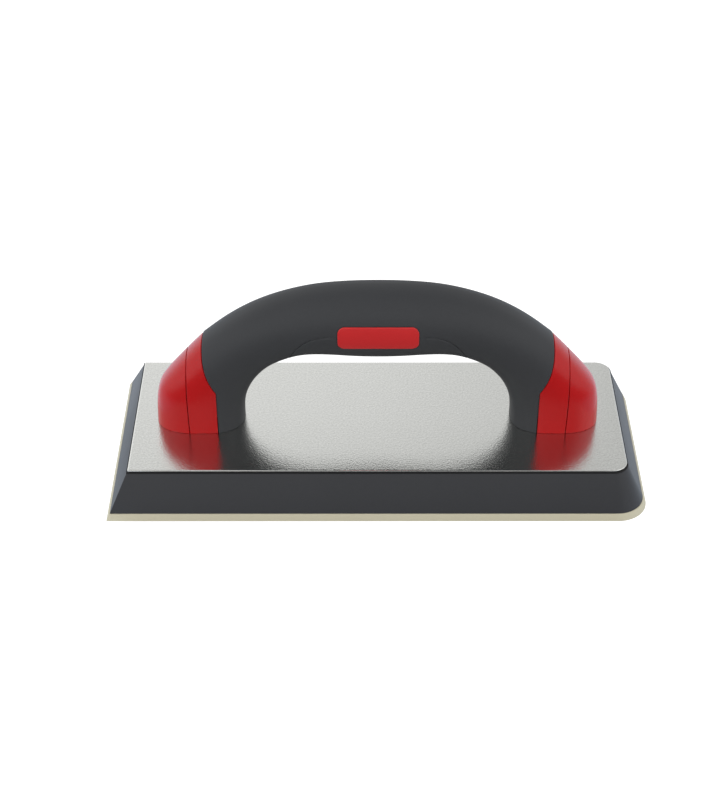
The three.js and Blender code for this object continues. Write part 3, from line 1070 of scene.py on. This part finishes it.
points, faces = turned(washer_ring + washer_ring[:1], HOLE_SIDES)
washer_stamp = make_mesh("washer_stamp", points, faces, zinc_steel)
print("screw stamp:", len(screw_stamp.data.polygons), "faces")

# %% The tree that sets them
feet_tree = bpy.data.node_groups.new("set under the feet", "GeometryNodeTree")
tree_face = feet_tree.interface
tree_face.new_socket("Geometry", in_out="INPUT", socket_type="NodeSocketGeometry")
for label, default in (("First place", 0.070), ("Spacing", 0.019)):
    tree_face.new_socket(label, in_out="INPUT", socket_type=FLOAT).default_value = default
tree_face.new_socket("Finish", in_out="INPUT", socket_type="NodeSocketMaterial")
tree_face.new_socket("Geometry", in_out="OUTPUT", socket_type="NodeSocketGeometry")
tree_in = add_node(feet_tree, "NodeGroupInput")
tree_out = add_node(feet_tree, "NodeGroupOutput")
first = add_node(feet_tree, "ShaderNodeCombineXYZ")
step_over = add_node(feet_tree, "ShaderNodeCombineXYZ")
pair = add_node(feet_tree, "GeometryNodeMeshLine", {"Count": 2})
other_foot = add_node(feet_tree, "GeometryNodeTransform", {"Rotation": (0, 0, math.pi)})
places = add_node(feet_tree, "GeometryNodeJoinGeometry")
copies_node = add_node(feet_tree, "GeometryNodeInstanceOnPoints")
real = add_node(feet_tree, "GeometryNodeRealizeInstances")
painted = add_node(feet_tree, "GeometryNodeSetMaterial")
join(
    feet_tree,
    (tree_in.outputs["First place"], first.inputs["X"]),
    (tree_in.outputs["Spacing"], step_over.inputs["X"]),
    (first.outputs[0], pair.inputs["Start Location"]),
    (step_over.outputs[0], pair.inputs["Offset"]),
    (pair.outputs[0], other_foot.inputs["Geometry"]),
    (other_foot.outputs[0], places.inputs[0]),
    (pair.outputs[0], places.inputs[0]),
    (places.outputs[0], copies_node.inputs["Points"]),
    (tree_in.outputs["Geometry"], copies_node.inputs["Instance"]),
    (copies_node.outputs[0], real.inputs[0]),
    (real.outputs[0], painted.inputs["Geometry"]),
    (tree_in.outputs["Finish"], painted.inputs["Material"]),
    (painted.outputs[0], tree_out.inputs[0]),
)
print("tree:", feet_tree.name, [item.name for item in tree_face.items_tree])


# %% Screws and washers in place
def set_under_feet(name, stamp, material):
    """The stamp at the four screw places, as one plain mesh."""
    modifier = stamp.modifiers.new("places", "NODES")
    modifier.node_group = feet_tree
    entries = [item for item in tree_face.items_tree if item.in_out == "INPUT"]
    sockets = {item.name: item.identifier for item in entries}
    first_place = sum(extent("foot_screw_3"))[0] / 2
    second_place = sum(extent("foot_screw_4"))[0] / 2
    modifier[sockets["First place"]] = first_place * MM
    modifier[sockets["Spacing"]] = (second_place - first_place) * MM
    modifier[sockets["Finish"]] = material
    evaluated = stamp.evaluated_get(bpy.context.evaluated_depsgraph_get())
    mesh = bpy.data.meshes.new_from_object(evaluated)
    mesh.name = name
    bpy.data.objects.remove(stamp)
    return new_object(name, mesh)


screws = set_under_feet("tapping_screws", screw_stamp, zinc_steel)
settle(screws, "screw_steel", *["foot_screw_%d" % n for n in (1, 2, 3, 4)])
washers = set_under_feet("pocket_washers", washer_stamp, zinc_steel)
settle(washers, "screw_steel", *["screw_washer_%d" % n for n in (1, 2, 3, 4)])


# %% [markdown]
# ## Holes under the feet
# The plate is drilled for the screws and the foam has a pocket for each head. Nobody sees them
# once the handle is on, but without them the screws would pass through solid metal. A Boolean
# modifier cuts them, because these holes sit in flat faces where it leaves no ragged shading.

# %% Cutting the holes
PLATE_HOLE, POCKET, POCKET_FLOOR, CLEAR = 2.5, 6.2, 15.4, 1.0


def drill(piece, radius, low, high):
    """Cuts four round holes, one at each screw, between two heights."""
    points, faces = turned([(radius, low), (radius, high)], HOLE_SIDES)
    faces += [list(range(HOLE_SIDES))[::-1], list(range(HOLE_SIDES, 2 * HOLE_SIDES))]
    pegs = set_under_feet("pegs", make_mesh("peg", points, faces, zinc_steel), zinc_steel)
    cut = piece.modifiers.new("holes", "BOOLEAN")
    cut.object = pegs
    cut.operation = "DIFFERENCE"
    cut.solver = "EXACT"
    evaluated = piece.evaluated_get(bpy.context.evaluated_depsgraph_get())
    mesh = bpy.data.meshes.new_from_object(evaluated)
    piece.modifiers.clear()
    piece.data = mesh
    while len(mesh.materials) > 1:
        mesh.materials.pop()
    mesh.shade_smooth()
    mesh.set_sharp_from_angle(angle=SHARP_ANGLE)
    bpy.data.objects.remove(pegs)


drill(plate, PLATE_HOLE, plate_low[2] - CLEAR, plate_high[2] + CLEAR)
drill(film, POCKET, film_low[2] - CLEAR, film_high[2] + CLEAR)
drill(foam, POCKET, POCKET_FLOOR, foam_high[2] + CLEAR)
settle(sole, "gum_rubber", "gum_rubber_sole")
settle(foam, "foam", "foam_pad")
settle(film, "adhesive", "bond_film")
settle(plate, "plate_metal", "back_plate")

# %% [markdown]
# ## The core
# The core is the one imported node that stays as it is: it is hidden in the shells, and only dark
# slivers of it show at the bottom of the seams.

# %% The core's finish
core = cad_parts["handle_core"]
core.data.materials.clear()
core.data.materials.append(core_nylon)
print("kept from the frame:", core.name)

# %% [markdown]
# ## Stage and light
# The tool lies on a white light table in a bright surround, with a soft panel high on either
# side. The surround is dimmer overhead and to the right, and brighter at its far ends. A light
# table keeps the ground white right up to the sole, where a plain white floor would take a grey
# shadow. The eye sees all of the table white, but the tool is lit by it only past its two ends.

# %% The table
TABLE_REACH, TABLE_DROP = 6.0, 0.0004
GLOW_MIDDLE, GLOW_LEFT, GLOW_RIGHT = 0.02, 1.15, 1.0  # strengths that the tool sees
END_FROM, END_TO = 0.105, 0.125  # distance from the middle where the glow of an end begins
BESIDE_FROM, BESIDE_TO = -0.09, -0.05  # the glow fades out in front of the tool
table_mesh = bpy.data.meshes.new("light_table")
corner_signs = [(-1, -1), (1, -1), (1, 1), (-1, 1)]
table_corners = [(x * TABLE_REACH, y * TABLE_REACH, -TABLE_DROP) for x, y in corner_signs]
table_mesh.from_pydata(table_corners, [], [[0, 1, 2, 3]])
table_finish = bpy.data.materials.new("light table")
table_finish.use_nodes = True
table_tree = table_finish.node_tree
table_shader = table_tree.nodes["Principled BSDF"]
table_shader.inputs["Base Color"].default_value = (0.27, 0.27, 0.27, 1)
table_shader.inputs["Roughness"].default_value = 0.9
sight = add_node(table_tree, "ShaderNodeLightPath")
spot = add_node(table_tree, "ShaderNodeTexCoord")
spot_axes = add_node(table_tree, "ShaderNodeSeparateXYZ")
left_end, right_end = [
    add_node(
        table_tree, "ShaderNodeMapRange",
        {"From Min": sign * END_FROM, "From Max": sign * END_TO, "To Max": end_glow - GLOW_MIDDLE},
    )
    for sign, end_glow in ((-1, GLOW_LEFT), (1, GLOW_RIGHT))
]
either = add_node(table_tree, "ShaderNodeMath", operation="ADD")
beside = add_node(
    table_tree, "ShaderNodeMapRange", {"From Min": BESIDE_FROM, "From Max": BESIDE_TO}
)
ends = add_node(table_tree, "ShaderNodeMath", {2: GLOW_MIDDLE}, operation="MULTIPLY_ADD")
glow = add_node(table_tree, "ShaderNodeMapRange", {"To Max": 1.0})
join(
    table_tree,
    (spot.outputs["Object"], spot_axes.inputs[0]),
    (spot_axes.outputs["X"], left_end.inputs["Value"]),
    (spot_axes.outputs["X"], right_end.inputs["Value"]),
    (spot_axes.outputs["Y"], beside.inputs["Value"]),
    (left_end.outputs["Result"], either.inputs[0]),
    (right_end.outputs["Result"], either.inputs[1]),
    (either.outputs[0], ends.inputs[0]),
    (beside.outputs["Result"], ends.inputs[1]),
    (ends.outputs[0], glow.inputs["To Min"]),
    (sight.outputs["Is Camera Ray"], glow.inputs["Value"]),
    (glow.outputs["Result"], table_shader.inputs["Emission Strength"]),
)
COOL_WHITE, WHITE = (0.74, 0.85, 1.0, 1), (1, 1, 1, 1)
tint = add_node(table_tree, "ShaderNodeMix", {"A": COOL_WHITE, "B": WHITE}, data_type="RGBA")
join(
    table_tree,
    (sight.outputs["Is Camera Ray"], tint.inputs["Factor"]),
    (tint.outputs["Result"], table_shader.inputs["Emission Color"]),
)
table_mesh.materials.append(table_finish)
table_top = new_object("light_table", table_mesh)

# %% The surround and the panels
world = bpy.data.worlds.new("surround")
bpy.context.scene.world = world
world.use_nodes = True
world_tree = world.node_tree
surround = world_tree.nodes["Background"]
direction = add_node(world_tree, "ShaderNodeTexCoord")
split = add_node(world_tree, "ShaderNodeSeparateXYZ")
join(world_tree, (direction.outputs["Generated"], split.inputs[0]))


def fade(axis, start, end, low, high):
    """A value that goes from low to high as one axis of the direction goes from start to end."""
    values = {"From Min": start, "From Max": end, "To Min": low, "To Max": high}
    node = add_node(world_tree, "ShaderNodeMapRange", values)
    join(world_tree, (split.outputs[axis], node.inputs["Value"]))
    return node.outputs["Result"]


def product(first, second):
    node = add_node(world_tree, "ShaderNodeMath", operation="MULTIPLY")
    join(
        world_tree,
        (first, node.inputs[0]),
        (second, node.inputs[1]),
    )
    return node.outputs[0]


# Each row: the axis, the two directions, and the strength at each of them.
around_user = fade("Y", -0.5, 0.2, 1.4, 1.0)
overhead = fade("Z", 0.58, 0.78, 1.06, 0.5)
across = fade("X", -0.02, 0.2, 1.0, 0.68)
far_ends = product(fade("X", 0.35, 0.65, 1.0, 1.7), fade("X", -0.35, -0.65, 1.0, 1.3))
seen = add_node(world_tree, "ShaderNodeMix", {"B": 1.0})
world_sight = add_node(world_tree, "ShaderNodeLightPath")
join(world_tree, (world_sight.outputs["Is Camera Ray"], seen.inputs["Factor"]))
strength = product(product(around_user, overhead), product(across, far_ends))
join(
    world_tree,
    (strength, seen.inputs["A"]),
    (seen.outputs["Result"], surround.inputs["Strength"]),
)
surround.inputs["Color"].default_value = WHITE


def panel(name, place, aim, size, power):
    """A soft square light at a place, turned towards a point."""
    light = bpy.data.lights.new(name, "AREA")
    light.shape = "SQUARE"
    light.size = size
    light.energy = power
    lamp = new_object(name, light)
    lamp.location = place
    lamp.rotation_euler = (Vector(aim) - Vector(place)).to_track_quat("-Z", "Y").to_euler()


panel("left_panel", (-0.5, -0.3, 1.1), (0, 0, 0.05), 0.5, 1.0)
panel("right_panel", (0.9, -0.3, 0.9), (0.08, 0, 0.04), 1.0, 2.0)
bpy.context.scene.view_settings.view_transform = "Standard"
